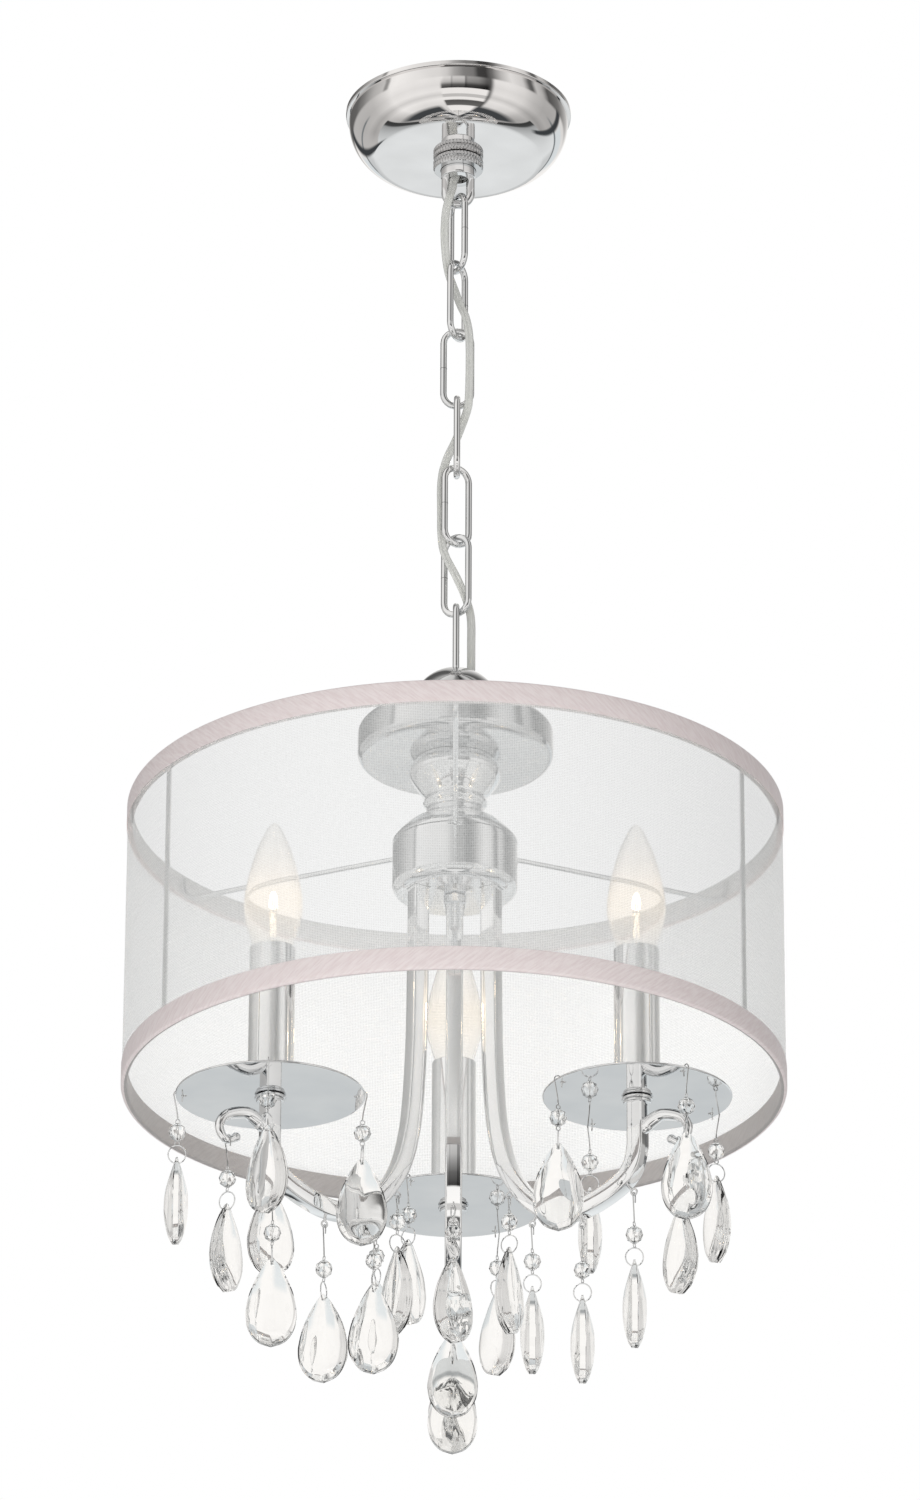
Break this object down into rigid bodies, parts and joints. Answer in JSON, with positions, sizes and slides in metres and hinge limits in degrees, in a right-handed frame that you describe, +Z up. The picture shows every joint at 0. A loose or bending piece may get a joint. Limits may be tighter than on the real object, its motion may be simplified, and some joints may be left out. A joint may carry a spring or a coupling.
{
  "type": "drum chandelier",
  "caption": "Chain-hung chandelier: a sheer drum shade on a wire spider round candle arms with mirror drip discs, flame bulbs and glass drops.",
  "frame": {"origin": "centre of the canopy's rim, on the ceiling", "axes": "+Z up, along the stem; the three arms stand at azimuths 90, 210 and 330 degrees, so -Y faces the viewer"},
  "size_m": [0.3542, 0.3542, 0.7672],
  "materials": {
    "chrome": "polished chrome plate",
    "zinc_steel": "bright zinc plate",
    "crystal_glass": "clear, faceted and polished",
    "bulb_glass": "clear blown glass with a lit filament",
    "organza": "sheer woven organza, stretched",
    "silk": "slubbed silk band with a soft sheen",
    "lampholder": "moulded, satin",
    "cord_sheath": "clear vinyl over tinned cores"
  },
  "bodies": {
    "ceiling_mount": {"crossbar": "zinc_steel", "collar_loop": "chrome", "supply_cord": "cord_sheath"},
    "canopy": {"canopy": "chrome"},
    "collar_ring": {"collar_ring": "chrome"},
    "link_1": {"chain_link_1": "chrome"},
    "link_2": {"chain_link_2": "chrome"},
    "link_3": {"chain_link_3": "chrome"},
    "link_4": {"chain_link_4": "chrome"},
    "link_5": {"chain_link_5": "chrome"},
    "link_6": {"chain_link_6": "chrome"},
    "fixture": {"loop_rod": "chrome", "top_cap": "chrome", "neck_spool": "chrome", "hub": "chrome", "shade_frame": "chrome", "shade_fabric": "organza", "shade_top_trim": "silk", "shade_bottom_trim": "silk", "arm_left": "chrome", "bobeche_left": "chrome", "candle_sleeve_left": "chrome", "lampholder_left": "lampholder", "arm_right": "chrome", "bobeche_right": "chrome", "candle_sleeve_right": "chrome", "lampholder_right": "lampholder", "arm_back": "chrome", "bobeche_back": "chrome", "candle_sleeve_back": "chrome", "lampholder_back": "lampholder"},
    "bulb_left": {"bulb_left": "bulb_glass"},
    "bulb_right": {"bulb_right": "bulb_glass"},
    "bulb_back": {"bulb_back": "bulb_glass"},
    "crystal_back_disc_1": {"crystal_back_disc_1": "crystal_glass"},
    "crystal_back_disc_2": {"crystal_back_disc_2": "crystal_glass"},
    "crystal_back_disc_3": {"crystal_back_disc_3": "crystal_glass"},
    "crystal_back_inner": {"crystal_back_inner": "crystal_glass"},
    "crystal_back_inner_high": {"crystal_back_inner_high": "crystal_glass"},
    "crystal_back_middle": {"crystal_back_middle": "crystal_glass"},
    "crystal_back_outer": {"crystal_back_outer": "crystal_glass"},
    "crystal_back_scroll": {"crystal_back_scroll": "crystal_glass"},
    "crystal_left_disc_1": {"crystal_left_disc_1": "crystal_glass"},
    "crystal_left_disc_2": {"crystal_left_disc_2": "crystal_glass"},
    "crystal_left_disc_3": {"crystal_left_disc_3": "crystal_glass"},
    "crystal_left_disc_4": {"crystal_left_disc_4": "crystal_glass"},
    "crystal_left_inner": {"crystal_left_inner": "crystal_glass"},
    "crystal_left_inner_high": {"crystal_left_inner_high": "crystal_glass"},
    "crystal_left_middle": {"crystal_left_middle": "crystal_glass"},
    "crystal_left_outer": {"crystal_left_outer": "crystal_glass"},
    "crystal_left_scroll": {"crystal_left_scroll": "crystal_glass"},
    "crystal_right_disc_1": {"crystal_right_disc_1": "crystal_glass"},
    "crystal_right_disc_2": {"crystal_right_disc_2": "crystal_glass"},
    "crystal_right_disc_3": {"crystal_right_disc_3": "crystal_glass"},
    "crystal_right_disc_4": {"crystal_right_disc_4": "crystal_glass"},
    "crystal_right_inner": {"crystal_right_inner": "crystal_glass"},
    "crystal_right_inner_high": {"crystal_right_inner_high": "crystal_glass"},
    "crystal_right_middle": {"crystal_right_middle": "crystal_glass"},
    "crystal_right_outer": {"crystal_right_outer": "crystal_glass"},
    "crystal_right_scroll": {"crystal_right_scroll": "crystal_glass"}
  },
  "joints": [
    {"name": "collar_ring_drop", "type": "slide", "parent": "ceiling_mount", "child": "collar_ring", "axis": [0, 0, -1], "range_m": [0, 0.012]},
    {"name": "canopy_drop", "type": "slide", "parent": "ceiling_mount", "child": "canopy", "axis": [0, 0, -1], "range_m": [0, 0.012]},
    {"name": "chain_hinge_1", "type": "hinge", "parent": "ceiling_mount", "child": "link_1", "pos_m": [0, 0, -0.0575], "axis": [-0.9994, -0.0349, 0], "range_deg": [-15, 15], "deforming": ["supply_cord"]},
    {"name": "chain_hinge_2", "type": "hinge", "parent": "link_1", "child": "link_2", "pos_m": [0, 0, -0.09915], "axis": [-0.5, 0.866, 0], "range_deg": [-15, 15]},
    {"name": "chain_hinge_3", "type": "hinge", "parent": "link_2", "child": "link_3", "pos_m": [0, 0, -0.14145], "axis": [0.5299, 0.848, 0], "range_deg": [-15, 15]},
    {"name": "chain_hinge_4", "type": "hinge", "parent": "link_3", "child": "link_4", "pos_m": [0, 0, -0.18375], "axis": [1, 0, 0], "range_deg": [-15, 15]},
    {"name": "chain_hinge_5", "type": "hinge", "parent": "link_4", "child": "link_5", "pos_m": [0, 0, -0.22605], "axis": [0, 1, 0], "range_deg": [-15, 15]},
    {"name": "chain_hinge_6", "type": "hinge", "parent": "link_5", "child": "link_6", "pos_m": [0, 0, -0.26835], "axis": [0.866, 0.5, 0], "range_deg": [-15, 15]},
    {"name": "chain_hinge_7", "type": "hinge", "parent": "link_6", "child": "fixture", "pos_m": [0, 0, -0.31065], "axis": [-0.866, 0.5, 0], "range_deg": [-15, 15]},
    {"name": "bulb_left_lift", "type": "slide", "parent": "fixture", "child": "bulb_left", "axis": [0, 0, 1], "range_m": [0, 0.025]},
    {"name": "bulb_right_lift", "type": "slide", "parent": "fixture", "child": "bulb_right", "axis": [0, 0, 1], "range_m": [0, 0.025]},
    {"name": "bulb_back_lift", "type": "slide", "parent": "fixture", "child": "bulb_back", "axis": [0, 0, 1], "range_m": [0, 0.025]},
    {"name": "swing_back_disc_1", "type": "hinge", "parent": "fixture", "child": "crystal_back_disc_1", "pos_m": [0.02425, 0.1533, -0.6143], "axis": [-0.866, 0.5, 0], "range_deg": [-8, 8]},
    {"name": "swing_back_disc_2", "type": "hinge", "parent": "fixture", "child": "crystal_back_disc_2", "pos_m": [-0.042, 0.13555, -0.6143], "axis": [-0.5, -0.866, 0], "range_deg": [-8, 8]},
    {"name": "swing_back_disc_3", "type": "hinge", "parent": "fixture", "child": "crystal_back_disc_3", "pos_m": [-0.02425, 0.0693, -0.6143], "axis": [0.866, -0.5, 0], "range_deg": [-8, 8]},
    {"name": "swing_back_inner", "type": "hinge", "parent": "fixture", "child": "crystal_back_inner", "pos_m": [0, 0.04799, -0.67566], "axis": [0, 1, 0], "range_deg": [-8, 8]},
    {"name": "swing_back_inner_high", "type": "hinge", "parent": "fixture", "child": "crystal_back_inner_high", "pos_m": [0, 0.02801, -0.64665], "axis": [0, 1, 0], "range_deg": [-8, 8]},
    {"name": "swing_back_middle", "type": "hinge", "parent": "fixture", "child": "crystal_back_middle", "pos_m": [0, 0.078, -0.68174], "axis": [0, 1, 0], "range_deg": [-8, 8]},
    {"name": "swing_back_outer", "type": "hinge", "parent": "fixture", "child": "crystal_back_outer", "pos_m": [0, 0.10899, -0.66875], "axis": [0, 1, 0], "range_deg": [-8, 8]},
    {"name": "swing_back_scroll", "type": "hinge", "parent": "fixture", "child": "crystal_back_scroll", "pos_m": [0, 0.13611, -0.6443], "axis": [0, 1, 0], "range_deg": [-8, 8]},
    {"name": "swing_left_disc_1", "type": "hinge", "parent": "fixture", "child": "crystal_left_disc_1", "pos_m": [-0.04789, -0.05565, -0.6143], "axis": [0, 1, 0], "range_deg": [-8, 8]},
    {"name": "swing_left_disc_2", "type": "hinge", "parent": "fixture", "child": "crystal_left_disc_2", "pos_m": [-0.09639, -0.00715, -0.6143], "axis": [-1, 0, 0], "range_deg": [-8, 8]},
    {"name": "swing_left_disc_3", "type": "hinge", "parent": "fixture", "child": "crystal_left_disc_3", "pos_m": [-0.14489, -0.05565, -0.6143], "axis": [0, -1, 0], "range_deg": [-8, 8]},
    {"name": "swing_left_disc_4", "type": "hinge", "parent": "fixture", "child": "crystal_left_disc_4", "pos_m": [-0.09639, -0.10415, -0.6143], "axis": [1, 0, 0], "range_deg": [-8, 8]},
    {"name": "swing_left_inner", "type": "hinge", "parent": "fixture", "child": "crystal_left_inner", "pos_m": [-0.04156, -0.02399, -0.67566], "axis": [-0.866, -0.5, 0], "range_deg": [-8, 8]},
    {"name": "swing_left_inner_high", "type": "hinge", "parent": "fixture", "child": "crystal_left_inner_high", "pos_m": [-0.02948, -0.01702, -0.65723], "axis": [-0.866, -0.5, 0], "range_deg": [-8, 8]},
    {"name": "swing_left_middle", "type": "hinge", "parent": "fixture", "child": "crystal_left_middle", "pos_m": [-0.06755, -0.039, -0.68174], "axis": [-0.866, -0.5, 0], "range_deg": [-8, 8]},
    {"name": "swing_left_outer", "type": "hinge", "parent": "fixture", "child": "crystal_left_outer", "pos_m": [-0.09439, -0.0545, -0.66875], "axis": [-0.866, -0.5, 0], "range_deg": [-8, 8]},
    {"name": "swing_left_scroll", "type": "hinge", "parent": "fixture", "child": "crystal_left_scroll", "pos_m": [-0.11787, -0.06806, -0.6443], "axis": [-0.866, -0.5, 0], "range_deg": [-8, 8]},
    {"name": "swing_right_disc_1", "type": "hinge", "parent": "fixture", "child": "crystal_right_disc_1", "pos_m": [0.13839, -0.0314, -0.6143], "axis": [-0.5, 0.866, 0], "range_deg": [-8, 8]},
    {"name": "swing_right_disc_2", "type": "hinge", "parent": "fixture", "child": "crystal_right_disc_2", "pos_m": [0.07214, -0.01365, -0.6143], "axis": [-0.866, -0.5, 0], "range_deg": [-8, 8]},
    {"name": "swing_right_disc_3", "type": "hinge", "parent": "fixture", "child": "crystal_right_disc_3", "pos_m": [0.05439, -0.0799, -0.6143], "axis": [0.5, -0.866, 0], "range_deg": [-8, 8]},
    {"name": "swing_right_disc_4", "type": "hinge", "parent": "fixture", "child": "crystal_right_disc_4", "pos_m": [0.12064, -0.09765, -0.6143], "axis": [0.866, 0.5, 0], "range_deg": [-8, 8]},
    {"name": "swing_right_inner", "type": "hinge", "parent": "fixture", "child": "crystal_right_inner", "pos_m": [0.04156, -0.02399, -0.67566], "axis": [0.866, -0.5, 0], "range_deg": [-8, 8]},
    {"name": "swing_right_inner_high", "type": "hinge", "parent": "fixture", "child": "crystal_right_inner_high", "pos_m": [0.02948, -0.01702, -0.65723], "axis": [0.866, -0.5, 0], "range_deg": [-8, 8]},
    {"name": "swing_right_middle", "type": "hinge", "parent": "fixture", "child": "crystal_right_middle", "pos_m": [0.06755, -0.039, -0.68174], "axis": [0.866, -0.5, 0], "range_deg": [-8, 8]},
    {"name": "swing_right_outer", "type": "hinge", "parent": "fixture", "child": "crystal_right_outer", "pos_m": [0.09439, -0.0545, -0.66875], "axis": [0.866, -0.5, 0], "range_deg": [-8, 8]},
    {"name": "swing_right_scroll", "type": "hinge", "parent": "fixture", "child": "crystal_right_scroll", "pos_m": [0.11787, -0.06806, -0.6443], "axis": [0.866, -0.5, 0], "range_deg": [-8, 8]}
  ],
  "couplings": [
    {"joint": "canopy_drop", "follows": "collar_ring_drop", "ratio": 1}
  ]
}
